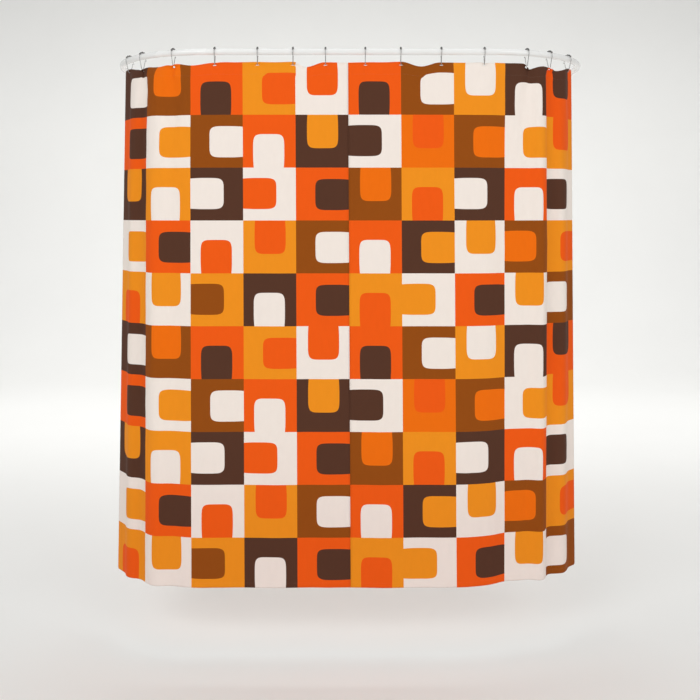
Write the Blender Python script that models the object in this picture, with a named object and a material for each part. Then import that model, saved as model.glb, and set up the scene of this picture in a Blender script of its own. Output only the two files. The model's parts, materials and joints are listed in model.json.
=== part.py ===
"""Shower curtain: a cloth on fourteen roller-ball hooks, on a curved rod with two wall flanges.

Metres, +Z up, +X to the right of someone facing the curtain, +Y towards the wall. The origin is on
the wall plane, midway between the flanges, at the height of the rod's centre line.
"""

import math

import bmesh
import bpy
from mathutils import Vector

# Rod: a straight front run, two quarter bends, and two straight legs back to the wall.
ROD_DIAMETER = 0.022
ROD_WALL = 0.0012
STRAIGHT_HALF = 0.49
BEND_RADIUS = 0.39
LEG_LENGTH = 0.37
ROD_SIDES = 12
BEND_STEPS = 24

# Wall flanges: a round plate with a collar that takes the rod's end, held by two screws.
FLANGE_DIAMETER = 0.060
FLANGE_THICKNESS = 0.004
COLLAR_WALL = 0.004
COLLAR_LENGTH = 0.024
SOCKET_FLOOR = 0.003
FLANGE_SIDES = 32
SCREW_SPACING = 0.044
SCREW_DIAMETER = 0.004
SCREW_LENGTH = 0.026
SCREW_HEAD_DIAMETER = 0.0078
SCREW_HEAD_HEIGHT = 0.0024
SCREW_SIDES = 12

# Cloth, laid flat, and the row of buttonholes under its top edge.
CLOTH_WIDTH = 1.84
CLOTH_HEIGHT = 1.83
CLOTH_THICKNESS = 0.001
# The buttonholes' distances from the cloth's left edge.
HOLE_PLACES = (
    0.0470, 0.1500, 0.3047, 0.4556, 0.6046, 0.7282, 0.8414,
    0.9799, 1.1036, 1.2446, 1.3949, 1.5524, 1.6780, 1.8050,
)
HEADER_HEIGHT = 0.0102
BUTTONHOLE_WIDTH = 0.016
BUTTONHOLE_HEIGHT = 0.0042
HEM_HEIGHT = 0.045

# Where each hook sits along the rod, from its middle. Hooks are a little closer than their holes, so
# the cloth between them hangs in a fold: out after the hooks numbered below, in after the others.
HOOK_PLACES = (
    -0.8605, -0.7660, -0.6214, -0.4706, -0.3217, -0.1983, -0.0852,
    0.0532, 0.1767, 0.3176, 0.4678, 0.6222, 0.7217, 0.8363,
)
OUTWARD_FOLDS = (1, 2, 3, 5, 8, 10, 12, 13)

# The bottom edge hangs in a flatter plan curve than the rod: a straight run and a wide bend each side.
HEM_STRAIGHT_LEFT = 0.50
HEM_STRAIGHT_RIGHT = 0.30
HEM_RADIUS_LEFT = 0.45
HEM_RADIUS_RIGHT = 0.80
HEM_SPREAD = 1.005
HEM_SHIFT = 0.009

# Hooks: a wire over the rod on rollers, with two legs closing to a small arc through a buttonhole.
WIRE_DIAMETER = 0.0025
ROLLER_DIAMETER = 0.0066
ROLLER_NECK_DIAMETER = 0.0046
ROLLER_COUNT = 5
ROLLER_STEP = math.radians(26)
ROLLER_CLEARANCE = 0.0005
HOOK_DROP = 0.041
HOOK_ARC_RADIUS = 0.0045
LATCH_TOP = -0.008
LATCH_GAP = 0.006
WIRE_SIDES = 6

CLEARANCE = 0.0003

ROD_RADIUS = ROD_DIAMETER / 2
WIRE_RADIUS = WIRE_DIAMETER / 2
FRONT_Y = -(LEG_LENGTH + BEND_RADIUS)
ROD_HALF_WIDTH = STRAIGHT_HALF + BEND_RADIUS
CREST_RADIUS = ROD_RADIUS + ROLLER_CLEARANCE + ROLLER_DIAMETER / 2
HOOK_COUNT = len(HOOK_PLACES)
HOLE_TOP_Z = -(HOOK_DROP + HOOK_ARC_RADIUS) + WIRE_RADIUS + CLEARANCE
CLOTH_TOP_Z = HOLE_TOP_Z + HEADER_HEIGHT

WHITE_PAINT = {"color": (0.86, 0.86, 0.84, 1), "roughness": 0.35, "metallic": 0.0}
STEEL = {"color": (0.62, 0.62, 0.62, 1), "roughness": 0.22, "metallic": 1.0}
CLOTH = {"color": (0.62, 0.25, 0.08, 1), "roughness": 0.85, "metallic": 0.0}


def clear_scene():
    for obj in list(bpy.data.objects):
        bpy.data.objects.remove(obj, do_unlink=True)


def make_material(name, look):
    material = bpy.data.materials.new(name)
    material.use_nodes = True
    shader = material.node_tree.nodes["Principled BSDF"]
    shader.inputs["Base Color"].default_value = look["color"]
    shader.inputs["Roughness"].default_value = look["roughness"]
    shader.inputs["Metallic"].default_value = look["metallic"]
    return material


def add_object(name, mesh, look, parent=None):
    """Puts a mesh in the scene as one named sub-part with a material of its own."""
    obj = bpy.data.objects.new(name, mesh)
    bpy.context.scene.collection.objects.link(obj)
    if not mesh.materials:
        mesh.materials.append(None)
    obj.material_slots[0].link = "OBJECT"
    obj.material_slots[0].material = make_material(name, look)
    obj.parent = parent
    return obj


def finish_mesh(bm, name, smooth=True):
    """Turns a closed bmesh into a mesh whose faces point out."""
    bmesh.ops.recalc_face_normals(bm, faces=bm.faces)
    mesh = bpy.data.meshes.new(name)
    bm.to_mesh(mesh)
    bm.free()
    if smooth:
        mesh.shade_smooth()
        mesh.set_sharp_from_angle(angle=math.radians(40))
    return mesh


def plan_point(s, straight, radius):
    """A point at length s along a plan curve, and the curve's heading there.

    The curve runs straight along X for the given length each side of its centre, then bends back
    through a quarter circle, then runs straight towards the wall.
    """
    side = 1 if s > 0 else -1
    beyond = abs(s) - straight
    if beyond <= 0:
        return Vector((s, 0, 0)), 0.0
    turn = min(beyond / radius, math.pi / 2)
    leg = beyond - turn * radius
    x = straight + radius * math.sin(turn)
    y = radius * (1 - math.cos(turn)) + leg
    return Vector((side * x, y, 0)), side * turn


def rod_point(s):
    point, heading = plan_point(s, STRAIGHT_HALF, BEND_RADIUS)
    return point + Vector((0, FRONT_Y, 0)), heading


def hem_point(s):
    if s > 0:
        point, heading = plan_point(s, HEM_STRAIGHT_RIGHT, HEM_RADIUS_RIGHT)
    else:
        point, heading = plan_point(s, HEM_STRAIGHT_LEFT, HEM_RADIUS_LEFT)
    return point + Vector((0, FRONT_Y, 0)), heading


def ring(bm, centre, across, up, radius, sides):
    """One ring of vertices around a centre, in the plane of two unit vectors."""
    verts = []
    for i in range(sides):
        angle = 2 * math.pi * i / sides
        verts.append(bm.verts.new(centre + radius * (math.cos(angle) * across + math.sin(angle) * up)))
    return verts


def sweep_rings(bm, path, up, radii, sides):
    """Rings square to a flat path, mitred at its corners, where up is the normal of its plane."""
    rings = []
    for i, point in enumerate(path):
        before = path[max(i - 1, 0)]
        after = path[min(i + 1, len(path) - 1)]
        along = (after - before).normalized()
        rings.append(ring(bm, point, up.cross(along), up, radii[i], sides))
    return rings


def skin(bm, rings, closed=False):
    """Faces from each ring to the next, and from the last to the first if the row is closed."""
    pairs = list(zip(rings, rings[1:]))
    if closed:
        pairs.append((rings[-1], rings[0]))
    for first, second in pairs:
        for i in range(len(first)):
            j = (i + 1) % len(first)
            bm.faces.new((first[i], first[j], second[j], second[i]))


def build_rod():
    """A tube, open at both ends, which stop short of the flanges' socket floors."""
    end = math.pi / 2 * BEND_RADIUS + STRAIGHT_HALF
    seat = end + LEG_LENGTH - SOCKET_FLOOR - CLEARANCE
    bends = [STRAIGHT_HALF + (end - STRAIGHT_HALF) * i / BEND_STEPS for i in range(BEND_STEPS + 1)]
    right = bends + [seat]
    stations = [-s for s in reversed(right)] + right
    path = [rod_point(s)[0] for s in stations]
    bm = bmesh.new()
    up = Vector((0, 0, 1))
    outer = sweep_rings(bm, path, up, [ROD_RADIUS] * len(path), ROD_SIDES)
    inner = sweep_rings(bm, path, up, [ROD_RADIUS - ROD_WALL] * len(path), ROD_SIDES)
    skin(bm, outer + inner[::-1], closed=True)
    add_object("rod", finish_mesh(bm, "rod"), WHITE_PAINT)


def turned(name, profile, sides):
    """A solid turned about Y from a profile of (radius, y) that starts and ends on the axis."""
    bm = bmesh.new()
    rings = []
    for radius, y in profile[1:-1]:
        rings.append(ring(bm, Vector((0, y, 0)), Vector((1, 0, 0)), Vector((0, 0, 1)), radius, sides))
    skin(bm, rings)
    bm.faces.new(rings[0])
    bm.faces.new(rings[-1])
    return finish_mesh(bm, name)


def screw_cutter(flange, z):
    """The clearance hole that one flange screw passes through."""
    radius = SCREW_DIAMETER / 2 + CLEARANCE
    reach = 3 * FLANGE_THICKNESS
    profile = [(0, -reach), (radius, -reach), (radius, reach), (0, reach)]
    cutter = bpy.data.objects.new(f"{flange.name}_cutter", turned("cutter", profile, SCREW_SIDES))
    bpy.context.scene.collection.objects.link(cutter)
    cutter.location = flange.location + Vector((0, 0, z))
    cutter.hide_render = True
    cutter.display_type = "WIRE"
    cut = flange.modifiers.new("screw_hole", "BOOLEAN")
    cut.operation = "DIFFERENCE"
    cut.solver = "EXACT"
    cut.object = cutter


def build_flange(side_name, side):
    plate = FLANGE_DIAMETER / 2
    bore = ROD_RADIUS + CLEARANCE
    collar = bore + COLLAR_WALL
    profile = [
        (0, 0),
        (plate, 0),
        (plate, -FLANGE_THICKNESS),
        (collar, -FLANGE_THICKNESS),
        (collar, -COLLAR_LENGTH),
        (bore, -COLLAR_LENGTH),
        (bore, -SOCKET_FLOOR),
        (0, -SOCKET_FLOOR),
    ]
    name = f"flange_{side_name}"
    flange = add_object(name, turned(name, profile, FLANGE_SIDES), WHITE_PAINT)
    flange.location = (side * ROD_HALF_WIDTH, 0, 0)
    for z in (SCREW_SPACING / 2, -SCREW_SPACING / 2):
        screw_cutter(flange, z)


def build_screws(side_name, side):
    """Pan-head screws through the flange, with their tips in the wall."""
    shank = SCREW_DIAMETER / 2
    head = SCREW_HEAD_DIAMETER / 2
    seat = -(FLANGE_THICKNESS + CLEARANCE)
    profile = [
        (0, seat + SCREW_LENGTH),
        (shank * 0.4, seat + SCREW_LENGTH),
        (shank, seat + SCREW_LENGTH - SCREW_DIAMETER),
        (shank, seat),
        (head, seat),
        (head, seat - SCREW_HEAD_HEIGHT / 2),
        (head * 0.6, seat - SCREW_HEAD_HEIGHT),
        (0, seat - SCREW_HEAD_HEIGHT),
    ]
    for place, z in (("upper", SCREW_SPACING / 2), ("lower", -SCREW_SPACING / 2)):
        name = f"screw_{side_name}_{place}"
        screw = add_object(name, turned(name, profile, SCREW_SIDES), STEEL)
        screw.location = (side * ROD_HALF_WIDTH, 0, z)


def wire_path():
    """The hook's centre line in its own plane, from the free end behind the rod, over the top, and round.

    Both legs are tangent to the crest arc over the rod and to the small arc in the buttonhole.
    """
    lean = math.asin((CREST_RADIUS - HOOK_ARC_RADIUS) / HOOK_DROP)
    crest_end = math.pi / 2 + lean
    leg_top = Vector((0, CREST_RADIUS * math.sin(crest_end), CREST_RADIUS * math.cos(crest_end)))
    down = Vector((0, -math.sin(lean), -math.cos(lean)))
    free_end = leg_top + down * ((leg_top.z - LATCH_TOP) / math.cos(lean))
    catch = free_end + down * LATCH_GAP
    path = [free_end]
    crest_steps = 10
    for i in range(crest_steps + 1):
        angle = crest_end - 2 * crest_end * i / crest_steps
        path.append(Vector((0, CREST_RADIUS * math.sin(angle), CREST_RADIUS * math.cos(angle))))
    arc_steps = 6
    sweep = math.pi - 2 * lean
    for i in range(arc_steps + 1):
        angle = -sweep / 2 + sweep * i / arc_steps
        offset = Vector((0, math.sin(angle), -math.cos(angle)))
        path.append(Vector((0, 0, -HOOK_DROP)) + HOOK_ARC_RADIUS * offset)
    path.append(catch)
    return path


def wire_mesh():
    bm = bmesh.new()
    path = wire_path()
    rings = sweep_rings(bm, path, Vector((1, 0, 0)), [WIRE_RADIUS] * len(path), WIRE_SIDES)
    skin(bm, rings)
    bm.faces.new(rings[0])
    bm.faces.new(rings[-1])
    return finish_mesh(bm, "hook_wire")


def roller_mesh():
    """The row of rollers as one beaded solid, bored along the wire."""
    half = ROLLER_COUNT * ROLLER_STEP / 2
    stations = []
    for number in range(ROLLER_COUNT):
        start = -half + number * ROLLER_STEP
        stations.append((start, ROLLER_NECK_DIAMETER / 2))
        stations.append((start + ROLLER_STEP * 0.28, ROLLER_DIAMETER / 2))
        stations.append((start + ROLLER_STEP * 0.72, ROLLER_DIAMETER / 2))
    stations.append((half, ROLLER_NECK_DIAMETER / 2))
    bore = WIRE_RADIUS + CLEARANCE

    def arc_point(angle):
        return Vector((0, CREST_RADIUS * math.sin(angle), CREST_RADIUS * math.cos(angle)))

    bm = bmesh.new()
    across = Vector((1, 0, 0))
    path = [arc_point(angle) for angle, _ in stations]
    outer = sweep_rings(bm, path, across, [radius for _, radius in stations], WIRE_SIDES)
    inner = sweep_rings(bm, path, across, [bore] * len(path), WIRE_SIDES)
    skin(bm, outer + inner[::-1], closed=True)
    return finish_mesh(bm, "hook_rollers")


def build_hooks():
    """Fourteen hooks on the rod; those on a bend hang from an empty at its centre, their hinge axis."""
    bend_centres = {}
    for side_name, side in (("left", -1), ("right", 1)):
        centre = bpy.data.objects.new(f"{side_name}_bend_centre", None)
        centre.location = (side * STRAIGHT_HALF, -LEG_LENGTH, 0)
        bpy.context.scene.collection.objects.link(centre)
        bend_centres[side] = centre
    wire = wire_mesh()
    rollers = roller_mesh()
    for number, s in enumerate(HOOK_PLACES, start=1):
        point, heading = rod_point(s)
        parent = None
        if abs(s) > STRAIGHT_HALF:
            parent = bend_centres[1 if s > 0 else -1]
            point = point - parent.location
        for name, mesh in ((f"hook_{number:02d}_wire", wire), (f"hook_{number:02d}_rollers", rollers)):
            hook = add_object(name, mesh, STEEL, parent)
            hook.location = point
            hook.rotation_euler = (0, 0, heading)


def cloth_columns():
    """Where the cloth's upright grid lines lie, as (distance from its left edge, hooks to its left).

    Each buttonhole has a line at both of its sides, and each stretch between two holes has three.
    """
    half_hole = BUTTONHOLE_WIDTH / 2
    lines = [(0.0, 0)]
    for number, centre in enumerate(HOLE_PLACES, start=1):
        lines += [(centre - half_hole, number), (centre + half_hole, number)]
        if number < HOOK_COUNT:
            spacing = HOLE_PLACES[number] - centre
            lines += [(centre + spacing * share, number) for share in (0.25, 0.5, 0.75)]
    lines.append((CLOTH_WIDTH, HOOK_COUNT))
    return lines


def cloth_rows():
    """How far below the top edge the level grid lines lie; the second and third are the holes' edges."""
    rows = [0.0, HEADER_HEIGHT, HEADER_HEIGHT + BUTTONHOLE_HEIGHT, HEM_HEIGHT]
    below = CLOTH_HEIGHT - HEM_HEIGHT
    return rows + [HEM_HEIGHT + below * share for share in (0.08, 0.25, 0.5, 0.75, 1.0)]


def cloth_point(u, drop):
    """A point of the hanging cloth, from its place on the flat cloth.

    Each level line goes from the rod's plan at the top to the hem's at the bottom, and swings out
    or in between two hooks, as far as the ease in that stretch lets it.
    """
    index = min(max(sum(u > place for place in HOLE_PLACES) - 1, 0), HOOK_COUNT - 2)
    spacing = HOLE_PLACES[index + 1] - HOLE_PLACES[index]
    share = (u - HOLE_PLACES[index]) / spacing
    chord = HOOK_PLACES[index + 1] - HOOK_PLACES[index]
    wave = 0.0
    if share < 0:
        s = HOOK_PLACES[0] + share * spacing
    elif share > 1:
        s = HOOK_PLACES[-1] + (share - 1) * spacing
    else:
        s = HOOK_PLACES[index] + share * chord
        wave = (1 - math.cos(2 * math.pi * share)) / 2 * (1 if index + 1 in OUTWARD_FOLDS else -1)
    fold = 2 / math.pi * math.sqrt(max(chord * (spacing - chord), 0)) * wave
    top, top_heading = rod_point(s)
    hem, hem_heading = hem_point(s * HEM_SPREAD + HEM_SHIFT)
    high = top + Vector((math.sin(top_heading), -math.cos(top_heading), 0)) * fold
    low = hem + Vector((math.sin(hem_heading), -math.cos(hem_heading), 0)) * fold
    point = high.lerp(low, drop / CLOTH_HEIGHT)
    point.z = CLOTH_TOP_Z - drop
    return point


def build_cloth(name, lines):
    """One stretch of the cloth, with its buttonholes left out of the grid before it gets its thickness."""
    rows = cloth_rows()
    bm = bmesh.new()
    grid = [[bm.verts.new(cloth_point(u, drop)) for drop in rows] for u, _ in lines]
    for i in range(len(lines) - 1):
        is_hole = lines[i + 1][0] - lines[i][0] < BUTTONHOLE_WIDTH * 1.01 and lines[i][1] == lines[i + 1][1]
        for j in range(len(rows) - 1):
            if is_hole and j == 1:
                continue
            bm.faces.new((grid[i][j], grid[i][j + 1], grid[i + 1][j + 1], grid[i + 1][j]))
    mesh = bpy.data.meshes.new(name)
    bm.to_mesh(mesh)
    bm.free()
    mesh.shade_smooth()
    cloth = add_object(name, mesh, CLOTH)
    thicken = cloth.modifiers.new("thickness", "SOLIDIFY")
    thicken.thickness = CLOTH_THICKNESS
    thicken.offset = 0
    thicken.use_even_offset = True


def build_cloths():
    """The front stretch hangs between the outermost hooks of the straight run; the returns hang beyond it."""
    straight = [n for n, s in enumerate(HOOK_PLACES, start=1) if abs(s) <= STRAIGHT_HALF]
    margin = BUTTONHOLE_WIDTH
    left_cut = HOLE_PLACES[straight[0] - 1] - margin
    right_cut = HOLE_PLACES[straight[-1] - 1] + margin
    lines = cloth_columns()
    gap = CLEARANCE / 2
    left = [line for line in lines if line[0] < left_cut] + [(left_cut - gap, straight[0] - 1)]
    front = [(left_cut + gap, straight[0] - 1)]
    front += [line for line in lines if left_cut < line[0] < right_cut]
    front += [(right_cut - gap, straight[-1])]
    right = [(right_cut + gap, straight[-1])] + [line for line in lines if line[0] > right_cut]
    build_cloth("fabric_left_return", left)
    build_cloth("fabric_front", front)
    build_cloth("fabric_right_return", right)


def main():
    clear_scene()
    build_rod()
    for side_name, side in (("left", -1), ("right", 1)):
        build_flange(side_name, side)
        build_screws(side_name, side)
    build_hooks()
    build_cloths()


main()
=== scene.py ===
import json
import math

import bmesh
import bpy
from mathutils import Matrix, Vector
from mathutils.bvhtree import BVHTree
from mathutils.geometry import barycentric_transform


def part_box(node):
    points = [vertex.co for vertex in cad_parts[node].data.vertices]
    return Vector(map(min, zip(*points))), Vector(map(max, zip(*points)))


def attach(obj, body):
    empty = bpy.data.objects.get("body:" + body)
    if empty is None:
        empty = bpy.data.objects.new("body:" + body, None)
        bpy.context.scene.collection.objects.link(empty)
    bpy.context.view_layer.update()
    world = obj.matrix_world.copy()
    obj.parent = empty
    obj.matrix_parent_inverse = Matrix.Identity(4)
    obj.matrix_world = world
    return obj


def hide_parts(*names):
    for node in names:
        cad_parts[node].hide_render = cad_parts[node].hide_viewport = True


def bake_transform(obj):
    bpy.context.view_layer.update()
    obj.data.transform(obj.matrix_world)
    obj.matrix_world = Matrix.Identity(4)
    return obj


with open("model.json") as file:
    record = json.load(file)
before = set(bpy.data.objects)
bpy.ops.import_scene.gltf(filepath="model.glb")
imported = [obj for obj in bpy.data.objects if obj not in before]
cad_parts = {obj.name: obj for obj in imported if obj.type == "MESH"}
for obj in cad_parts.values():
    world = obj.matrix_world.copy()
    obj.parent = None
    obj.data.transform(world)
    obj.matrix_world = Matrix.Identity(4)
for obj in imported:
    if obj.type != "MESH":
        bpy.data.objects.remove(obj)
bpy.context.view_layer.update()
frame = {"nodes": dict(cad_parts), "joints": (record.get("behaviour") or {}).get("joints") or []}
rootBody = "rod_and_cloth"
joints = {joint["name"]: joint for joint in frame["joints"]}
print("frame loaded:", len(frame["nodes"]), "nodes")


class Socket:  # a node's output with arithmetic, so that an expression adds its Math nodes
    def __init__(self, finish, socket):
        self.finish = finish
        self.socket = socket

    def math(self, operation, other=None, swap=False, clamp=False):
        values = [self] if other is None else [self, other]
        if swap:
            values.reverse()
        settings = {"operation": operation, "use_clamp": clamp}
        return self.finish.node("ShaderNodeMath", settings, dict(enumerate(values)))

    def __add__(self, other):
        return self.math("ADD", other)

    def __sub__(self, other):
        return self.math("SUBTRACT", other)

    def __rsub__(self, other):
        return self.math("SUBTRACT", other, swap=True)

    def __mul__(self, other):
        return self.math("MULTIPLY", other)

    def __truediv__(self, other):
        return self.math("DIVIDE", other)

    def __pow__(self, other):
        return self.math("POWER", other)

    def __abs__(self):
        return self.math("ABSOLUTE")

    __radd__ = __add__
    __rmul__ = __mul__

    def clamped(self):
        return self.math("ADD", 0.0, clamp=True)

    def sine(self):
        return self.math("SINE")

    def least(self, other):
        return self.math("MINIMUM", other)

    def most(self, other):
        return self.math("MAXIMUM", other)


class Finish:  # one procedural material around a Principled shader
    def __init__(self, name):
        self.material = bpy.data.materials.new(name)
        self.material.use_nodes = True
        self.tree = self.material.node_tree
        self.shader = self.tree.nodes["Principled BSDF"]

    def put(self, target, value):
        if isinstance(value, Socket):
            self.tree.links.new(value.socket, target)
        else:
            target.default_value = value

    def node(self, kind, settings=None, values=None, output=0):
        made = self.tree.nodes.new(kind)
        for key, value in (settings or {}).items():
            setattr(made, key, value)
        for key, value in (values or {}).items():
            self.put(made.inputs[key], value)
        return Socket(self, made.outputs[output])

    def split(self, vector):
        made = self.tree.nodes.new("ShaderNodeSeparateXYZ")
        self.tree.links.new(vector.socket, made.inputs[0])
        return [Socket(self, output) for output in made.outputs]

    def attribute(self, name):
        return self.node("ShaderNodeAttribute", {"attribute_name": name})

    def uv(self, name):
        return self.node("ShaderNodeUVMap", {"uv_map": name})

    def place(self):
        return self.node("ShaderNodeTexCoord", output="Object")

    def noise(self, vector, scale, detail=2.0, roughness=0.5):
        values = {"Vector": vector, "Scale": scale, "Detail": detail, "Roughness": roughness}
        return self.node("ShaderNodeTexNoise", values=values, output="Fac")

    def stretch(self, vector, scale):
        return self.node("ShaderNodeMapping", values={"Vector": vector, "Scale": scale})

    def mix(self, amount, first, second, blend="MIX"):
        values = {0: amount, 6: first, 7: second}
        return self.node("ShaderNodeMix", {"data_type": "RGBA", "blend_type": blend}, values, output=2)

    def bump(self, height, distance, strength=1.0, normal=None):
        values = {"Height": height, "Distance": distance, "Strength": strength}
        if normal is not None:
            values["Normal"] = normal
        return self.node("ShaderNodeBump", values=values)

    def set(self, **sockets):
        for name, value in sockets.items():
            spaced = "".join(" " + c if c.isupper() else c for c in name).strip()
            self.put(self.shader.inputs[spaced], value)
        return self.material


def linear(red, green, blue):
    # sRGB from 0 to 255 to a linear colour
    def channel(value):
        value = value / 255
        return value / 12.92 if value <= 0.04045 else ((value + 0.055) / 1.055) ** 2.4

    return (channel(red), channel(green), channel(blue), 1.0)


# camera, light and floor
camera = {"focal": 44.8, "sensor": 36.0, "distance": 3.03, "height": -0.567, "shiftDown": 0.193}
lightPower = {"world": 0.50, "key": 67, "fill": 46, "top": 22, "wall": 150}
floorLook = {"drop": 0.228, "front": -12.0, "back": 4.0, "sweep": 2.2, "side": 14.0, "wallHeight": 6.0}

hookNodes = [f"hook_{number:02d}_wire" for number in range(1, 15)]
hookBoxes = [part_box(name) for name in hookNodes]
hookPlaces = [Vector(((low.x + high.x) / 2, (low.y + high.y) / 2, 0)) for low, high in hookBoxes]
frontY = sum(place.y for place in hookPlaces[5:9]) / 4
clothBoxes = [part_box(name) for name in ("fabric_left_return", "fabric_front", "fabric_right_return")]
clothTop = max(high.z for low, high in clothBoxes)
clothBottom = min(low.z for low, high in clothBoxes)


def addMesh(name, bm, material, smooth=True):
    mesh = bpy.data.meshes.new(name)
    bm.to_mesh(mesh)
    bm.free()
    if smooth:
        mesh.shade_smooth()
        mesh.set_sharp_from_angle(angle=math.radians(50))
    made = bpy.data.objects.new(name, mesh)
    bpy.context.scene.collection.objects.link(made)
    for slotMaterial in material if isinstance(material, (list, tuple)) else [material]:
        mesh.materials.append(slotMaterial)
    return made


def edgesIn(geom):
    return [item for item in geom if isinstance(item, bmesh.types.BMEdge)]


def vertsIn(geom):
    return [item for item in geom if isinstance(item, bmesh.types.BMVert)]


def goStraight(bm, edges, way):
    grown = bmesh.ops.extrude_edge_only(bm, edges=edges)["geom"]
    bmesh.ops.translate(bm, verts=vertsIn(grown), vec=way)
    return edgesIn(grown)


def goRound(bm, edges, centre, axis, angle, steps):
    made = bmesh.ops.spin(bm, geom=edges, cent=centre, axis=axis, angle=angle, steps=steps)
    return edgesIn(made["geom_last"])


def makeCamera():
    data = bpy.data.cameras.new("camera")
    data.lens = camera["focal"]
    data.sensor_width = camera["sensor"]
    data.shift_y = -camera["shiftDown"]
    made = bpy.data.objects.new("camera", data)
    made.location = (0, frontY - camera["distance"], camera["height"])
    made.rotation_euler = (math.radians(90), 0, 0)
    bpy.context.scene.collection.objects.link(made)
    bpy.context.scene.camera = made


def makeFloor():
    # one sheet that runs from in front of the curtain, along the floor, and sweeps up behind it
    finish = Finish("paleFloor")
    mottle = finish.noise(finish.place(), 1.4, 3.0)
    colour = finish.mix(mottle, linear(240, 240, 238), linear(244, 244, 242))
    finish.set(BaseColor=colour, Roughness=0.9)
    level = clothBottom - floorLook["drop"]
    bm = bmesh.new()
    ends = [bm.verts.new((side * floorLook["side"], floorLook["front"], level)) for side in (-1, 1)]
    edges = goStraight(bm, [bm.edges.new(ends)], (0, floorLook["back"] - floorLook["front"], 0))
    centre = (0, floorLook["back"], level + floorLook["sweep"])
    edges = goRound(bm, edges, centre, (1, 0, 0), math.radians(90), 24)
    goStraight(bm, edges, (0, 0, floorLook["wallHeight"]))
    bmesh.ops.recalc_face_normals(bm, faces=bm.faces)
    addMesh("floor", bm, finish.material)


def addLight(name, place, aim, size, power):
    data = bpy.data.lights.new(name, "AREA")
    data.shape = "RECTANGLE"
    data.size, data.size_y = size
    data.energy = power
    made = bpy.data.objects.new(name, data)
    made.location = place
    made.rotation_euler = (Vector(aim) - Vector(place)).to_track_quat("-Z", "Y").to_euler()
    made.visible_camera = False
    bpy.context.scene.collection.objects.link(made)


def makeLights():
    world = bpy.data.worlds.new("studio")
    world.use_nodes = True
    background = world.node_tree.nodes["Background"]
    background.inputs["Color"].default_value = (0.93, 0.93, 0.925, 1)
    background.inputs["Strength"].default_value = lightPower["world"]
    bpy.context.scene.world = world
    middle = (0, frontY, -0.9)
    addLight("keySoftbox", (-2.4, frontY - 3.6, 1.3), middle, (2.6, 2.0), lightPower["key"])
    addLight("fillSoftbox", (2.8, frontY - 3.2, 0.6), middle, (2.4, 2.4), lightPower["fill"])
    addLight("topSoftbox", (0, frontY + 0.6, 2.4), (0, frontY + 0.4, -0.9), (3.0, 2.0), lightPower["top"])
    addLight("wallSoftbox", (0, 2.2, 1.2), (0, 4.4, -2.0), (11.0, 1.4), lightPower["wall"])


bpy.context.scene.view_settings.view_transform = "Standard"
makeCamera()
makeFloor()
makeLights()
print("camera, floor and lights made")


# the cloth: its flat cut, its hung shape and the simulation
cloth = {
    "width": 1.84, "columns": 10, "rowPitch": 0.184, "perCell": 9, "thickness": 0.00035,
    "holes": (0.0470, 0.1500, 0.3047, 0.4556, 0.6046, 0.7282, 0.8414,
              0.9799, 1.1036, 1.2446, 1.3949, 1.5524, 1.6780, 1.8050),
    "slotWidth": 0.016, "slotTop": 0.0102, "slotHeight": 0.0031, "slotEnd": 0.0003, "slotReach": 0.021,
    "topHem": 0.045, "bottomHem": 0.018, "sideHem": 0.012,
}
hang = {
    "hemStraightLeft": 0.50, "hemStraightRight": 0.30, "hemRadiusLeft": 0.45, "hemRadiusRight": 0.80,
    "hemShift": 0.009, "hemSpread": 1.005,
    "outFolds": (0, 1, 2, 4, 7, 9, 11, 12), "swagReach": 0.13,
    # how far the top edge droops after each hook, and where between the two hooks it is lowest
    "swags": {0: (0.006, 0.75), 2: (0.009, 0.45), 5: (0.018, 0.4), 8: (0.016, 0.5), 11: (0.016, 0.15),
              12: (0.017, 0.3)},
    "flatSwag": (0.0015, 0.5),
    "frames": 50, "quality": 6, "pointMass": 0.02, "stiffness": 60, "shear": 20, "bending": 0.02,
    "air": 3, "hold": 0.25, "edgeHold": 0.5, "holdFrom": 0.12, "holdOver": 0.5, "gravity": 1.0,
}
clothHeight = clothTop - clothBottom
straightHalf = joints["draw_right"]["pos_m"][0]
bendRadius = (hookPlaces[-1].xy - Vector(joints["draw_right"]["pos_m"][:2])).length
holes = cloth["holes"]


def planPoint(s, straight, radius):
    # a point at length s along a plan curve: straight, then a quarter bend each side; and its heading
    side = 1 if s > 0 else -1
    beyond = abs(s) - straight
    if beyond <= 0:
        return Vector((s, frontY, 0)), 0.0
    turn = beyond / radius
    x = straight + radius * math.sin(turn)
    return Vector((side * x, frontY + radius * (1 - math.cos(turn)), 0)), side * turn


def alongRod(place):
    # how far along the rod a hook sits, from the rod's middle
    beyond = abs(place.x) - straightHalf
    if beyond <= 0:
        return place.x
    return math.copysign(straightHalf + bendRadius * math.asin(min(beyond / bendRadius, 1)), place.x)


hookArc = [alongRod(place) for place in hookPlaces]


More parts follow.
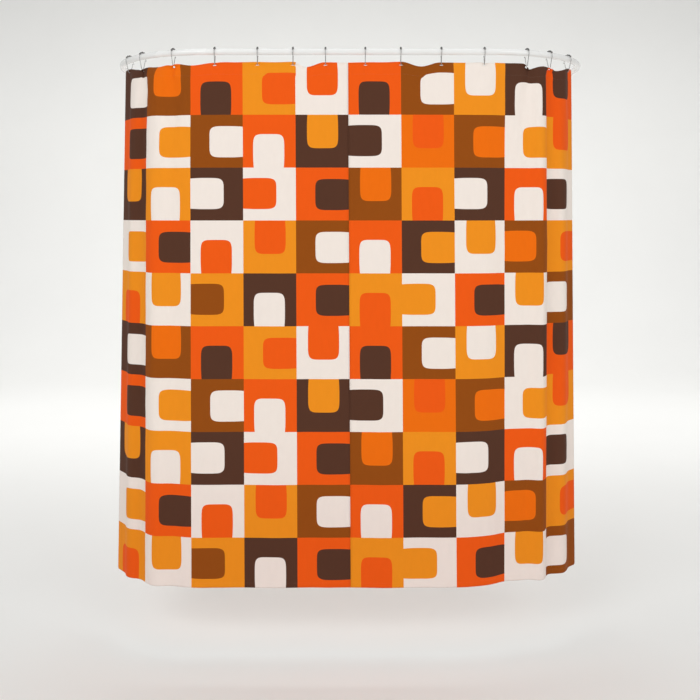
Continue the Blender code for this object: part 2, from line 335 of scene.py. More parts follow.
def hungPoint(u, v):
    # where a point of the flat cloth hangs: u from its left edge, v below its top edge
    index = min(max(sum(u > hole for hole in holes) - 1, 0), len(holes) - 2)
    spacing = holes[index + 1] - holes[index]
    share = (u - holes[index]) / spacing
    chord = hookArc[index + 1] - hookArc[index]
    s = hookArc[index] + share * (chord if 0 <= share <= 1 else spacing)
    if share > 1:
        s = hookArc[index + 1] + (share - 1) * spacing
    fold = 2 / math.pi * math.sqrt(max(chord * (spacing - chord), 0))
    swing = 1 if index in hang["outFolds"] else -1
    wave = swing * (1 - math.cos(2 * math.pi * share)) / 2 if 0 < share < 1 else 0.0
    top, topHeading = planPoint(s, straightHalf, bendRadius)
    hemS = s * hang["hemSpread"] + hang["hemShift"]
    sideName = "Right" if hemS > 0 else "Left"
    hem, hemHeading = planPoint(hemS, hang["hemStraight" + sideName], hang["hemRadius" + sideName])
    high = top + Vector((math.sin(topHeading), -math.cos(topHeading), 0)) * fold * wave
    low = hem + Vector((math.sin(hemHeading), -math.cos(hemHeading), 0)) * fold * wave
    point = high.lerp(low, v / clothHeight)
    point.z = clothTop - v
    return point


def swag(u, v):
    # how far below its straight place the slack header droops between two hooks
    index = min(max(sum(u > hole for hole in holes) - 1, 0), len(holes) - 2)
    depth, lowest = hang["swags"].get(index, hang["flatSwag"])
    share = (u - holes[index]) / (holes[index + 1] - holes[index])
    if not 0 < share < 1 or v > hang["swagReach"]:
        return 0.0
    bent = 0.5 * share / lowest if share < lowest else 0.5 + 0.5 * (share - lowest) / (1 - lowest)
    return depth * math.sin(math.pi * bent) ** 2 * (1 - v / hang["swagReach"]) ** 2


def cutCloth():
    # the flat cut, in X and -Z, with grid lines on the print's squares, the hems and the buttonholes
    size = cloth["columns"] * cloth["perCell"]
    bm = bmesh.new()
    bmesh.ops.create_grid(bm, x_segments=size, y_segments=size, size=0.5)
    tall = cloth["columns"] * cloth["rowPitch"]
    bmesh.ops.translate(bm, verts=bm.verts, vec=(0.5, -0.5, 0))
    bmesh.ops.scale(bm, verts=bm.verts, vec=(cloth["width"], tall, 1))
    bmesh.ops.rotate(bm, verts=bm.verts, cent=(0, 0, 0), matrix=Matrix.Rotation(math.radians(90), 3, "X"))

    def cutLine(geom, point, normal, clear=False):
        bmesh.ops.bisect_plane(bm, geom=geom, dist=0.0006, plane_co=point, plane_no=normal,
                               clear_outer=clear)

    def everything():
        return bm.verts[:] + bm.edges[:] + bm.faces[:]

    cutLine(everything(), (0, 0, -clothHeight), (0, 0, -1), clear=True)
    for z in (-cloth["topHem"], cloth["bottomHem"] - clothHeight):
        cutLine(everything(), (0, 0, z), (0, 0, 1))
    for x in (cloth["sideHem"], cloth["width"] - cloth["sideHem"]):
        cutLine(everything(), (x, 0, 0), (1, 0, 0))
    half = cloth["slotWidth"] / 2
    for centre in holes:

        def near():
            faces = [f for f in bm.faces if abs(f.calc_center_median().x - centre) < cloth["slotReach"]
                     and f.calc_center_median().z > -cloth["topHem"]]
            edges = {e for f in faces for e in f.edges}
            verts = {v for f in faces for v in f.verts}
            return list(verts) + list(edges) + faces

        for x in (centre - half, centre, centre + half):
            cutLine(near(), (x, 0, 0), (1, 0, 0))
        for z in (-cloth["slotTop"], -cloth["slotTop"] - cloth["slotHeight"]):
            cutLine(near(), (0, 0, z), (0, 0, 1))
        slot = [f for f in bm.faces if abs(f.calc_center_median().x - centre) < half
                and -cloth["slotTop"] - cloth["slotHeight"] < f.calc_center_median().z < -cloth["slotTop"]]
        bmesh.ops.delete(bm, geom=slot, context="FACES")
        middle = -cloth["slotTop"] - cloth["slotHeight"] / 2
        for vert in bm.verts:  # the slit narrows to its ends
            atEnd = abs(abs(vert.co.x - centre) - half) < 0.0008
            if atEnd and abs(vert.co.z - middle) < cloth["slotHeight"] * 0.7:
                vert.co.z = middle + math.copysign(cloth["slotEnd"] / 2, vert.co.z - middle)
    flatMap = bm.loops.layers.uv.new("flat")
    for face in bm.faces:
        for loop in face.loops:
            loop[flatMap].uv = (loop.vert.co.x, -loop.vert.co.z)
    return bm


def hangCloth(bm):
    # the sheet hangs from its buttonholes; the cloth simulation relaxes it towards its flat cut's lengths
    mesh = bpy.data.meshes.new("hangingCloth")
    bm.to_mesh(mesh)
    bm.free()
    sheet = bpy.data.objects.new("hangingCloth", mesh)
    bpy.context.scene.collection.objects.link(sheet)
    flat = [vert.co.copy() for vert in mesh.vertices]
    hung = [hungPoint(co.x, -co.z) for co in flat]
    sheet.shape_key_add(name="hung")
    flatKey = sheet.shape_key_add(name="flatCut")
    mesh.shape_keys.key_blocks["hung"].data.foreach_set("co", [c for co in hung for c in co])
    flatKey.data.foreach_set("co", [c for co in flat for c in co])
    flatKey.value = 0
    mesh.vertices.foreach_set("co", [c for co in hung for c in co])
    pins = sheet.vertex_groups.new(name="pins")
    for index, co in enumerate(flat):
        below = -co.z
        weight = hang["hold"] * min(max((below - hang["holdFrom"]) / hang["holdOver"], 0), 1)
        if not holes[0] - 0.01 < co.x < holes[-1] + 0.01:
            weight = max(weight, hang["edgeHold"])
        if min(abs(co.x - hole) for hole in holes) < 0.001 and abs(below - cloth["slotTop"]) < 0.0008:
            weight = 1.0
        pins.add([index], weight, "REPLACE")
    drape = sheet.modifiers.new("drape", "CLOTH")
    settings = drape.settings
    settings.quality = hang["quality"]
    settings.mass = hang["pointMass"]
    settings.tension_stiffness = settings.compression_stiffness = hang["stiffness"]
    settings.shear_stiffness = hang["shear"]
    settings.bending_stiffness = hang["bending"]
    settings.air_damping = hang["air"]
    settings.vertex_group_mass = "pins"
    settings.pin_stiffness = 1.0
    settings.rest_shape_key = flatKey
    settings.effector_weights.gravity = hang["gravity"]
    drape.collision_settings.use_collision = False
    drape.collision_settings.use_self_collision = False
    drape.point_cache.frame_start = 1
    drape.point_cache.frame_end = hang["frames"]
    for step in range(1, hang["frames"] + 1):
        bpy.context.scene.frame_set(step)
    smooth = sheet.modifiers.new("smooth", "SUBSURF")
    smooth.levels = smooth.render_levels = 1
    smooth.uv_smooth = "NONE"
    depsgraph = bpy.context.evaluated_depsgraph_get()
    done = bpy.data.meshes.new_from_object(sheet.evaluated_get(depsgraph))
    bpy.data.objects.remove(sheet)
    bpy.context.scene.frame_set(1)
    flatUv = done.uv_layers["flat"].data
    lowered = {loop.vertex_index: swag(*flatUv[loop.index].uv) for loop in done.loops}
    for index, depth in lowered.items():
        done.vertices[index].co.z -= depth
    return done


clothMesh = hangCloth(cutCloth())
print("cloth hung:", len(clothMesh.vertices), "points")


# a map from the flat cut to the hung cloth, for the hems and the thread
clothMesh.calc_loop_triangles()
flatLoops = clothMesh.uv_layers["flat"].data
flatPoints = {}
for loop in clothMesh.loops:
    flatPoints[loop.vertex_index] = flatLoops[loop.index].uv.to_3d()
flatList = [flatPoints[index] for index in range(len(clothMesh.vertices))]
flatTriangles = [tuple(triangle.vertices) for triangle in clothMesh.loop_triangles]
flatTree = BVHTree.FromPolygons(flatList, flatTriangles)
hungList = [vertex.co.copy() for vertex in clothMesh.vertices]
hungNormals = [vertex.normal.copy() for vertex in clothMesh.vertices]


def onCloth(u, v, proud=0.0):
    # the hung place of a point of the flat cut, a little proud of its printed face, and that face's normal
    found, _, index, _ = flatTree.find_nearest(Vector((u, v, 0)))
    corners = flatTriangles[index]
    flats = [flatList[corner] for corner in corners]
    point = barycentric_transform(found, *flats, *[hungList[corner] for corner in corners])
    normal = barycentric_transform(found, *flats, *[hungNormals[corner] for corner in corners]).normalized()
    return point + normal * proud, normal


# the printed cloth
inks = {
    "D": linear(87, 54, 39), "B": linear(151, 77, 14), "R": linear(247, 93, 16), "A": linear(247, 149, 29),
    "C": linear(249, 238, 229), "O": linear(246, 114, 8),
}
# each square's ground ink, motif ink, and the side that its motif stands on; the five rows come twice
squares = [
    "DCr BOt RDb ARr CRt RDb BCr ACt DCb RDt",
    "RDr CAr BCr RCb DAt CDl ORt BOr CAr ARt",
    "DAt ACb DCl CRl RDr BOt ARb DCl RCb CDl",
    "CAr RDr CRb ARt BCr RCb DAr CAt BOl ARr",
    "ARb CAt ABl DCb RDr ARb CAl RDr CAt BCl",
]
motif = {"centre": 0.49, "halfWidth": 0.295, "widest": 0.25, "rise": 0.383, "roundness": 5.6,
         "taper": 0.035, "sharpness": 30}
# painted shade: the print is darkened from a height near the bottom, by an amount for each of the three
# channels, where the light falls off towards the hem
weaveAndShade = {"pitch": 0.00042, "depth": 0.00006, "creaseDepth": 0.0035, "creaseStrength": 0.45,
         "paintedShadeFrom": 1.3, "paintedShadeDepth": (0.045, 0.08, 0.07)}


def onSquare(side, x, y):
    # a point of a square, turned so that its motif stands on the given side
    return {"b": (x, 1 - y), "t": (1 - x, y), "l": (y, x), "r": (1 - y, 1 - x)}[side]


def printMaterial(name, fade):
    # a motif with a round end on each square, from the square's own map; fade is the share of blank cloth
    finish = Finish(name)
    across, upwards, _ = finish.split(finish.uv("square"))
    foot = (upwards.least(motif["widest"]) - motif["widest"]) / motif["widest"]
    width = (1 - foot * foot * motif["taper"]) * motif["halfWidth"]
    side = abs(across - motif["centre"]) / width
    end = (upwards - motif["widest"]).most(0.0) / motif["rise"]
    shape = 1 - side ** motif["roundness"] - end ** motif["roundness"]
    inside = (shape * motif["sharpness"] + 0.5).clamped()
    colour = finish.mix(inside, finish.attribute("ground"), finish.attribute("motif"))
    flat = finish.uv("flat")
    mottle = finish.noise(finish.stretch(flat, (60, 18, 1)), 1.0, 3.0)
    slub = finish.noise(finish.stretch(flat, (40, 1400, 1)), 1.0, 2.0)
    shade = 0.955 + mottle * 0.05 + slub * 0.035
    # painted shade: a mask that grows from a height near the bottom takes each channel's amount off the
    # cloth's tone, and the print is multiplied by the result
    low = ((finish.split(flat)[1] - weaveAndShade["paintedShadeFrom"]) * 3).clamped()
    toneWithPaintedShade = {channel: shade - low * channelShade for channel, channelShade in enumerate(weaveAndShade["paintedShadeDepth"])}
    colour = finish.mix(1.0, colour, finish.node("ShaderNodeCombineColor", values=toneWithPaintedShade), "MULTIPLY")
    if fade:
        colour = finish.mix(fade, colour, linear(238, 229, 221))
    turns = 2 * math.pi / weaveAndShade["pitch"]
    flatU, flatV, _ = finish.split(flat)
    warp = (flatU * turns).sine()
    weft = (flatV * turns).sine()
    threads = warp * weft * 0.5 + slub * 0.6
    creases = finish.noise(finish.stretch(flat, (9, 2.2, 1)), 1.0, 3.0)
    soft = finish.bump(creases, weaveAndShade["creaseDepth"], weaveAndShade["creaseStrength"])
    normal = finish.bump(threads, weaveAndShade["depth"], 0.6, soft)
    finish.set(BaseColor=colour, Roughness=0.74 + slub * 0.1, Normal=normal)
    finish.set(SheenWeight=0.04, SheenRoughness=0.4)
    finish.put(finish.shader.inputs["Specular IOR Level"], 0.12)
    return finish.material


frontPrint = printMaterial("printedFront", 0.0)
backPrint = printMaterial("printShowingThrough", 0.5)


def paintSquares(mesh):
    mesh.uv_layers.new(name="square")
    for name in ("ground", "motif"):
        mesh.color_attributes.new(name, "FLOAT_COLOR", "CORNER")
    flat = mesh.uv_layers["flat"].data
    square = mesh.uv_layers["square"].data
    ground = mesh.color_attributes["ground"].data
    motifInk = mesh.color_attributes["motif"].data
    pitch = (cloth["width"] / cloth["columns"], cloth["rowPitch"])
    for face in mesh.polygons:
        middle = sum((flat[index].uv for index in face.loop_indices), Vector((0, 0))) / face.loop_total
        column = min(int(middle.x / pitch[0]), cloth["columns"] - 1)
        row = int(middle.y / pitch[1])
        groundInk, inkOver, side = squares[row % len(squares)].split()[column]
        for index in face.loop_indices:
            x = flat[index].uv.x / pitch[0] - column
            y = flat[index].uv.y / pitch[1] - row
            ground[index].color = inks[groundInk]
            motifInk[index].color = inks[inkOver]
            square[index].uv = onSquare(side, x, y)


def clothPart(name, keep, materials, thickness, behind=0.0):
    # a part of the hung cloth, given its thickness behind its printed face
    bm = bmesh.new()
    bm.from_mesh(clothMesh)
    flat = bm.loops.layers.uv["flat"]

    def middle(face):
        return sum((loop[flat].uv for loop in face.loops), Vector((0, 0))) / len(face.loops)

    drop = [face for face in bm.faces if not keep(*middle(face))]
    if behind:
        bm.normal_update()
        moved = [vert.co - vert.normal * behind for vert in bm.verts]
        for vert, place in zip(bm.verts, moved):
            vert.co = place
    bmesh.ops.delete(bm, geom=drop, context="FACES")
    made = addMesh(name, bm, materials)
    paintSquares(made.data)
    solid = made.modifiers.new("thickness", "SOLIDIFY")
    solid.thickness = thickness
    solid.offset = -1
    solid.material_offset = 1
    solid.material_offset_rim = 0
    return made


sides = {
    "Left": {"node": "fabric_left_return", "body": "hook_01",
             "start": hookPlaces[3], "end": hookPlaces[0]},
    "Right": {"node": "fabric_right_return", "body": "hook_14",
              "start": hookPlaces[10], "end": hookPlaces[13]},
}
middleU = cloth["width"] / 2


def onSide(sideName, u):
    return u < middleU if sideName == "Left" else u > middleU


def follow(piece):
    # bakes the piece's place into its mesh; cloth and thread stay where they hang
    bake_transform(piece)
    return piece


def makeCloth():
    # one sheet, in two halves that meet on a line of the print, one for each way the curtain draws; here
    # both stay where they hang
    halves = {}
    for sideName, side in sides.items():
        half = clothPart("cloth" + sideName, lambda u, v: onSide(sideName, u), [frontPrint, backPrint],
                         cloth["thickness"])
        follow(half)
        nodes = [side["node"]] + (["fabric_front"] if sideName == "Left" else [])
        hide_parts(*nodes)
        halves[sideName] = half
    return halves


hemFold = {"thickness": 0.00035, "behind": 0.00045}


def makeHems():
    # the turned-over cloth at the back of each hem
    width, top, bottom = cloth["width"], cloth["topHem"], clothHeight - cloth["bottomHem"]
    hems = {
        "topHem": lambda u, v: v < top,
        "bottomHem": lambda u, v: v > bottom,
        "sideHem": lambda u, v: min(u, width - u) < cloth["sideHem"] and top < v < bottom,
    }
    made = {}
    for sideName in sides:
        for hemName, keep in hems.items():
            hem = clothPart(hemName + sideName, lambda u, v: onSide(sideName, u) and keep(u, v),
                            [backPrint, backPrint], hemFold["thickness"], hemFold["behind"])
            made.setdefault(sideName, []).append(follow(hem))
    return made


# thread: lockstitches along the hems and satin stitches round each buttonhole
thread = {"pitch": 0.0034, "length": 0.0026, "width": 0.00042, "height": 0.0003, "inset": 0.0022,
          "batch": 30}
satin = {"count": 34, "length": 0.0024, "width": 0.00048, "height": 0.0004, "margin": 0.0006,
         "closed": 0.0006, "square": 0.55, "narrowing": 0.6}


def threadMaterial():
    finish = Finish("hemThread")
    strands = finish.noise(finish.place(), 2600, 2.0)
    colour = finish.mix(strands * 0.35, finish.attribute("dye"), linear(200, 186, 170))
    finish.set(BaseColor=colour, Roughness=0.6 + strands * 0.2, Normal=finish.bump(strands, 0.00005, 0.5))
    return finish.material


threadFinish = threadMaterial()


def inkAt(u, v):
    # the ink that the print has at a point of the flat cut, by the same motif as its shader draws
    x, y = u / (cloth["width"] / cloth["columns"]), v / cloth["rowPitch"]
    column, row = min(int(x), cloth["columns"] - 1), int(y)
    x, y = x - column, y - row
    groundInk, inkOver, side = squares[row % len(squares)].split()[column]
    across, upwards = onSquare(side, x, y)
    sideways = abs(across - motif["centre"]) / motif["halfWidth"]
    end = max(upwards - motif["widest"], 0) / motif["rise"]
    return inks[inkOver if sideways ** motif["roundness"] + end ** motif["roundness"] < 1 else groundInk]


def addStitch(bm, u, v, along, proud, size):
    # one bead of thread, dyed like the cloth under it
    place, normal = onCloth(u, v, proud)
    along = (along - normal * along.dot(normal)).normalized()
    across = normal.cross(along)
    turn = Matrix((along * size[0], across * size[1], normal * size[2])).transposed().to_4x4()
    dye = bm.loops.layers.float_color.get("dye") or bm.loops.layers.float_color.new("dye")
    spot = Matrix.Translation(place) @ turn
    made = bmesh.ops.create_uvsphere(bm, u_segments=6, v_segments=4, radius=0.5, matrix=spot)
    ink = inkAt(u, v)
    for face in {face for vert in made["verts"] for face in vert.link_faces}:
        for loop in face.loops:
            loop[dye] = ink


def gather(bm, part):
    # adds a finished small bmesh to a larger one; stitches are made in small batches, which is quicker
    mesh = bpy.data.meshes.new("batch")
    part.to_mesh(mesh)
    part.free()
    bm.from_mesh(mesh)
    bpy.data.meshes.remove(mesh)


def stitchLine(bm, start, end):
    # one row of lockstitches between two points of the flat cut
    start, end = Vector(start), Vector(end)
    count = int((end - start).length / thread["pitch"])
    step = (end - start) / count
    size = (thread["length"], thread["width"], thread["height"])
    batch = bmesh.new()
    for number in range(count):
        if number and number % thread["batch"] == 0:
            gather(bm, batch)
            batch = bmesh.new()
        behind, _ = onCloth(*(start + step * (number + 0.1)))
        ahead, _ = onCloth(*(start + step * (number + 0.9)))
        addStitch(batch, *(start + step * (number + 0.5)), ahead - behind, thread["height"] * 0.2, size)
    gather(bm, batch)


def makeHemStitches():
    width, height, inset = cloth["width"], clothHeight, thread["inset"]
    top = cloth["topHem"] - inset
    bottom = height - cloth["bottomHem"] + inset
    edge = cloth["sideHem"] - inset
    made = {}
    for sideName in sides:
        bm = bmesh.new()
        outer = edge if sideName == "Left" else width - edge
        for v in (top, bottom):
            stitchLine(bm, (outer, v), (middleU, v))
        stitchLine(bm, (outer, top), (outer, bottom))
        made[sideName] = follow(addMesh("hemStitches" + sideName, bm, threadFinish))
    return made


def makeButtonholes():
    # satin stitches stand square to the slot's edge all the way round it
    made = {}
    halfWidth = cloth["slotWidth"] / 2 + satin["margin"]
    halfHeight = cloth["slotHeight"] / 2 + satin["margin"]
    middleV = cloth["slotTop"] + cloth["slotHeight"] / 2
    size = (satin["length"], satin["width"], satin["height"])
    for sideName in sides:
        bm = bmesh.new()
        for centre in holes:
            if not onSide(sideName, centre):
                continue
            batch = bmesh.new()
            for step in range(satin["count"]):
                angle = 2 * math.pi * (step + 0.5) / satin["count"]
                x = math.copysign(abs(math.cos(angle)) ** satin["square"], math.cos(angle)) * halfWidth
                y = math.copysign(abs(math.sin(angle)) ** satin["square"], math.sin(angle)) * halfHeight
                y *= 1 - satin["narrowing"] * (x / halfWidth) ** 2
                y -= satin["closed"] if y > 0 else 0
                atEnd = abs(x) > halfWidth * 0.9
                inner, _ = onCloth(centre + x * (1.0 if atEnd else 1.01), middleV + y)
                outer, _ = onCloth(centre + x * (1.2 if atEnd else 1.02),
                                   middleV + y * (1.0 if atEnd else 1.6))
                addStitch(batch, centre + x, middleV + y, outer - inner, satin["height"] * 0.3, size)
            gather(bm, batch)
        made[sideName] = follow(addMesh("buttonholeThread" + sideName, bm, threadFinish))
    return made


clothHalves = makeCloth()
hemPieces = makeHems()
stitchPieces = makeHemStitches()
buttonholePieces = makeButtonholes()
for sideName, half in clothHalves.items():
    withPieces = hemPieces[sideName] + [stitchPieces[sideName], buttonholePieces[sideName]]
    hangers = [node for node, hole in zip(hookNodes, holes) if onSide(sideName, hole)]
print("cloth, hems and thread made")


def paintMaterial():
    finish = Finish("whitePaint")
    peel = finish.noise(finish.place(), 420, 2.0)
    cloud = finish.noise(finish.place(), 9, 3.0)
    colour = finish.mix(cloud, linear(240, 240, 238), linear(247, 247, 246))
    finish.set(BaseColor=colour, Roughness=0.2 + cloud * 0.12, Normal=finish.bump(peel, 0.00003, 0.4))
    finish.set(CoatWeight=0.35, CoatRoughness=0.08)
    return finish.material


def steelMaterial(name, tone, roughness):
    finish = Finish(name)
    drawn = finish.noise(finish.place(), 900, 3.0)
    cloud = finish.noise(finish.place(), 60, 2.0)
    colour = finish.mix(cloud, linear(tone, tone, tone), linear(tone + 18, tone + 17, tone + 15))
    rough = roughness + drawn * 0.08 + cloud * 0.06
    finish.set(BaseColor=colour, Metallic=1.0, Roughness=rough, Normal=finish.bump(drawn, 0.00001, 0.3))
    return finish.material


whitePaint = paintMaterial()
wireSteel = steelMaterial("wireSteel", 176, 0.2)
ballChrome = steelMaterial("ballChrome", 112, 0.12)
screwSteel = steelMaterial("screwSteel", 172, 0.28)


hook = {
    "wireRadius": 0.00125, "crestRadius": 0.0148, "drop": 0.041, "arcRadius": 0.0045, "latchTop": -0.008,
    "latchGap": 0.0035, "latchRadius": 0.0021, "latchTurn": 165, "sides": 14,
    "balls": 5, "ballRadius": 0.0033, "ballStep": 26, "ballFlat": 0.0030,
}


def startRing(bm, place, direction, radius, segments):
    turn = Vector(direction).to_track_quat("Z", "Y").to_matrix().to_4x4()
    spot = Matrix.Translation(place) @ turn
    made = bmesh.ops.create_circle(bm, segments=segments, radius=radius, matrix=spot)
    return list({edge for vert in made["verts"] for edge in vert.link_edges})


def roundEnd(bm, edges, way, radius):
    # a ring closes in a dome of three more rings and a small face
    along = Vector(way).normalized()
    centre = sum((vert.co for edge in edges for vert in edge.verts), Vector()) / (2 * len(edges))
    before = 0.0
    shrunk = 1.0
    for degrees in (30, 55, 75):
        angle = math.radians(degrees)
        edges = goStraight(bm, edges, along * radius * (math.sin(angle) - before))
        centre = centre + along * radius * (math.sin(angle) - before)
        before = math.sin(angle)
        size = math.cos(angle) / shrunk
        shrunk = math.cos(angle)
        verts = list({vert for edge in edges for vert in edge.verts})
        bmesh.ops.scale(bm, verts=verts, vec=(size, size, size), space=Matrix.Translation(-centre))
    bmesh.ops.holes_fill(bm, edges=edges)


def wireShape():
    # from the free end behind the rod, over the crest, down, through the buttonhole and up to the latch
    radius = hook["wireRadius"]
    lean = math.asin((hook["crestRadius"] - hook["arcRadius"]) / hook["drop"])
    crestEnd = math.pi / 2 + lean
    legTop = Vector((0, math.sin(crestEnd), math.cos(crestEnd))) * hook["crestRadius"]
    up = Vector((0, math.sin(lean), math.cos(lean)))
    toFree = (legTop.z - hook["latchTop"]) / up.z
    bm = bmesh.new()
    first = startRing(bm, legTop - up * toFree, up, radius, hook["sides"])
    edges = goStraight(bm, first, up * toFree)
    edges = goRound(bm, edges, (0, 0, 0), (1, 0, 0), 2 * crestEnd, 40)
    legLength = math.sqrt(hook["drop"] ** 2 - (hook["crestRadius"] - hook["arcRadius"]) ** 2)
    edges = goStraight(bm, edges, Vector((0, up.y, -up.z)) * legLength)
    edges = goRound(bm, edges, (0, 0, -hook["drop"]), (1, 0, 0), math.pi - 2 * lean, 18)
    rise = legLength - toFree - hook["latchGap"] - hook["latchRadius"]
    edges = goStraight(bm, edges, up * rise)
    bottom = Vector((0, hook["arcRadius"] * math.cos(lean),
                     -hook["drop"] - hook["arcRadius"] * math.sin(lean)))
    side = Vector((0, up.z, -up.y))
    turn = math.radians(hook["latchTurn"])
    edges = goRound(bm, edges, bottom + up * rise + side * hook["latchRadius"], (1, 0, 0), -turn, 14)
    roundEnd(bm, edges, Matrix.Rotation(-turn, 3, "X") @ up, radius)
    roundEnd(bm, first, -up, radius)
    bmesh.ops.remove_doubles(bm, verts=bm.verts, dist=0.00001)
    bmesh.ops.recalc_face_normals(bm, faces=bm.faces)
    return bm


def ballShape():
    # five balls on the crest, each with its two flats against its neighbours
    bm = bmesh.new()
    for number in range(hook["balls"]):
        angle = math.radians((number - (hook["balls"] - 1) / 2) * hook["ballStep"])
        one = bmesh.new()
        bmesh.ops.create_uvsphere(one, u_segments=28, v_segments=18, radius=hook["ballRadius"])
        for way in (-1, 1):
            bmesh.ops.bisect_plane(one, geom=one.verts[:] + one.edges[:] + one.faces[:], dist=0.00001,
                                   plane_co=(0, 0, way * hook["ballFlat"]), plane_no=(0, 0, way),
                                   clear_outer=True)
        bmesh.ops.holes_fill(one, edges=[edge for edge in one.edges if edge.is_boundary])
        bmesh.ops.recalc_face_normals(one, faces=one.faces)
        lay = Matrix.Rotation(-angle, 4, "X") @ Matrix.Translation((0, 0, hook["crestRadius"]))
        bmesh.ops.transform(one, verts=one.verts, matrix=lay @ Matrix.Rotation(math.radians(90), 4, "X"))
        gather(bm, one)
    return bm


def makeHooks():
    for number, place in enumerate(hookPlaces, start=1):
        heading = planPoint(hookArc[number - 1], straightHalf, bendRadius)[1]
        lay = Matrix.Translation(place) @ Matrix.Rotation(heading, 4, "Z")
        for part, shape, material, slotName in (("wire", wireShape, wireSteel, "hook_wire"),
                                                ("rollers", ballShape, ballChrome, "roller_ball")):
            bm = shape()
            bmesh.ops.transform(bm, verts=bm.verts, matrix=lay)
            made = addMesh(f"hook{number:02d}{part.capitalize()}", bm, material)
            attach(made, f"hook_{number:02d}")
            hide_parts(f"hook_{number:02d}_{part}")


makeHooks()
print("hooks made")


rod = {"sides": 40, "bendSteps": 48, "seat": 0.0033}
flange = {"radius": 0.030, "thickness": 0.004, "collar": 0.0153, "bore": 0.0113, "length": 0.024,
          "floor": 0.003, "bevel": 0.0009, "steps": 72, "holeRadius": 0.0023}
screw = {"shank": 0.002, "head": 0.0039, "headHeight": 0.0024, "length": 0.026, "steps": 28,
         "slotWidth": 0.0011, "slotLength": 0.0044, "slotDepth": 0.0013, "turns": 14, "thread": 0.00028}


def finishPiece(piece, node):
    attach(piece, rootBody)
    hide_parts(node)


def makeRod():
    low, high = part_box("rod")
    radius = (high.z - low.z) / 2
    halfWidth = (high.x - low.x) / 2 - radius
    bendY = joints["draw_right"]["pos_m"][1]
    quarter = math.radians(90)
    bm = bmesh.new()
    first = startRing(bm, (-halfWidth, -rod["seat"], 0), (0, -1, 0), radius, rod["sides"])
    edges = goStraight(bm, first, (0, bendY + rod["seat"], 0))
    edges = goRound(bm, edges, (-straightHalf, bendY, 0), (0, 0, 1), quarter, rod["bendSteps"])
    edges = goStraight(bm, edges, (2 * straightHalf, 0, 0))
    edges = goRound(bm, edges, (straightHalf, bendY, 0), (0, 0, 1), quarter, rod["bendSteps"])
    goStraight(bm, edges, (0, -bendY - rod["seat"], 0))
    bmesh.ops.remove_doubles(bm, verts=bm.verts, dist=0.00001)
    bmesh.ops.holes_fill(bm, edges=[edge for edge in bm.edges if edge.is_boundary])
    bmesh.ops.recalc_face_normals(bm, faces=bm.faces)
    finishPiece(addMesh("rodTube", bm, whitePaint), "rod")


def turnProfile(profile, steps, bevel=0.0):
    # a solid turned about Y from (radius, y) points that start and end on the axis
    bm = bmesh.new()
    verts = [bm.verts.new((radius, y, 0)) for radius, y in profile]
    edges = [bm.edges.new(pair) for pair in zip(verts, verts[1:])]
    bmesh.ops.spin(bm, geom=verts + edges, cent=(0, 0, 0), axis=(0, 1, 0), angle=2 * math.pi, steps=steps,
                   use_merge=True)
    bmesh.ops.remove_doubles(bm, verts=bm.verts, dist=0.000005)
    bmesh.ops.recalc_face_normals(bm, faces=bm.faces)
    if bevel:
        sharp = [edge for edge in bm.edges if edge.calc_face_angle(0) > math.radians(50)]
        bmesh.ops.bevel(bm, geom=sharp, offset=bevel, segments=3, profile=0.5, affect="EDGES", material=-1)
    return bm


def cutWith(piece, cutters):
    # takes each cutter out of the piece for good
    for cutter in cutters:
        cut = piece.modifiers.new("cut", "BOOLEAN")
        cut.operation = "DIFFERENCE"
        cut.solver = "EXACT"
        cut.object = cutter
    done = bpy.data.meshes.new_from_object(piece.evaluated_get(bpy.context.evaluated_depsgraph_get()))
    piece.modifiers.clear()
    piece.data = done
    for cutter in cutters:
        bpy.data.objects.remove(cutter)


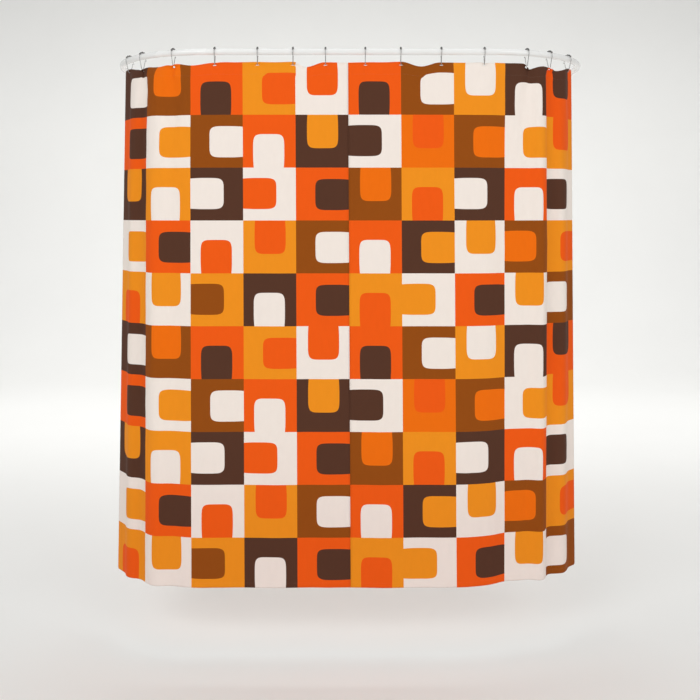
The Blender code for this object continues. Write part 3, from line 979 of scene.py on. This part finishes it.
def makeFlange(sideName):
    low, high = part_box("flange_" + sideName)
    place = Vector(((low.x + high.x) / 2, 0, 0))
    size = flange
    profile = [(0, 0), (size["radius"], 0), (size["radius"], -size["thickness"]),
               (size["collar"], -size["thickness"]), (size["collar"], -size["length"]),
               (size["bore"], -size["length"]), (size["bore"], -size["floor"]), (0, -size["floor"])]
    bm = turnProfile(profile, size["steps"], size["bevel"])
    bmesh.ops.translate(bm, verts=bm.verts, vec=place)
    piece = addMesh(sideName + "Flange", bm, whitePaint)
    cutters = []
    for level in ("upper", "lower"):
        low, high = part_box(f"screw_{sideName}_{level}")
        tool = bmesh.new()
        spot = Matrix.Translation((place.x, 0, (low.z + high.z) / 2))
        spot = spot @ Matrix.Rotation(math.radians(90), 4, "X")
        bmesh.ops.create_cone(tool, cap_ends=True, segments=32, radius1=size["holeRadius"],
                              radius2=size["holeRadius"], depth=0.03, matrix=spot)
        cutters.append(addMesh("holeCutter", tool, whitePaint))
    cutWith(piece, cutters)
    finishPiece(piece, "flange_" + sideName)


def makeScrew(sideName, level):
    low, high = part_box(f"screw_{sideName}_{level}")
    place = Vector(((low.x + high.x) / 2, 0, (low.z + high.z) / 2))
    seat = high.y - screw["length"]
    tip = high.y
    profile = [(0, tip), (screw["shank"] * 0.35, tip)]
    reach = screw["length"] - screw["shank"] * 2
    for turn in range(screw["turns"], 0, -1):
        y = seat + reach * turn / screw["turns"]
        crest = y - reach / screw["turns"] / 2
        profile += [(screw["shank"] - screw["thread"] * 2, y), (screw["shank"], crest)]
    profile += [(screw["shank"], seat), (screw["head"], seat)]
    for degrees in range(0, 90, 15):
        angle = math.radians(degrees)
        profile.append((screw["head"] * (0.45 + 0.55 * math.cos(angle)),
                        seat - screw["headHeight"] * (0.4 + 0.6 * math.sin(angle))))
    profile.append((0, seat - screw["headHeight"]))
    bm = turnProfile(profile, screw["steps"])
    bmesh.ops.translate(bm, verts=bm.verts, vec=place)
    piece = addMesh(f"{sideName}{level.capitalize()}Screw", bm, screwSteel)
    cutters = []
    for size in ((screw["slotLength"], screw["slotWidth"]), (screw["slotWidth"], screw["slotLength"])):
        tool = bmesh.new()
        box = Matrix.Diagonal((size[0], screw["slotDepth"] * 2, size[1], 1))
        spot = Matrix.Translation(place + Vector((0, seat - screw["headHeight"], 0)))
        bmesh.ops.create_cube(tool, size=1, matrix=spot @ box)
        cutters.append(addMesh("recessCutter", tool, screwSteel))
    cutWith(piece, cutters)
    finishPiece(piece, f"screw_{sideName}_{level}")


makeRod()
for flangeSide in ("left", "right"):
    makeFlange(flangeSide)
    for screwLevel in ("upper", "lower"):
        makeScrew(flangeSide, screwLevel)
print("rod, flanges and screws made")
